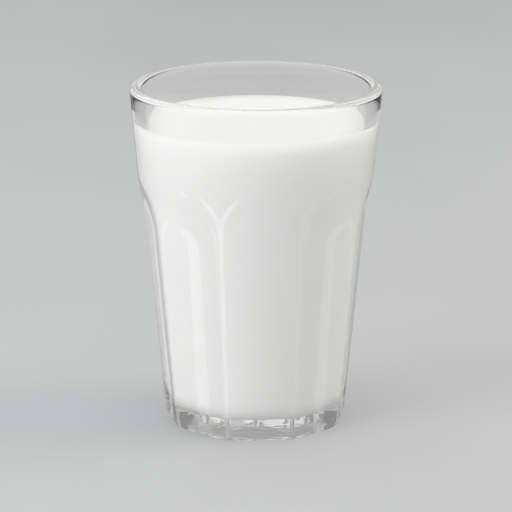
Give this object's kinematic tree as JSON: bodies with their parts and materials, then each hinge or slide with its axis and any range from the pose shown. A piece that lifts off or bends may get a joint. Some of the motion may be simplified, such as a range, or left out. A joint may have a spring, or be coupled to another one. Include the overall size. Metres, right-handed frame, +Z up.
{
  "type": "glass of milk",
  "caption": "Fluted clear pressed-glass tumbler with a thick foot and a smooth band under its round lip, filled with milk to just below the rim.",
  "frame": {"origin": "centre of the foot, on the table", "axes": "+Z up along the tumbler's axis; one flute faces -Y"},
  "size_m": [0.0834, 0.0834, 0.1145],
  "materials": {
    "clear_glass": "polished, fire-polished lip, pressed flutes",
    "milk": "opaque white liquid with a wet sheen"
  },
  "bodies": {
    "root": {"tumbler": "clear_glass", "milk": "milk"}
  },
  "joints": []
}
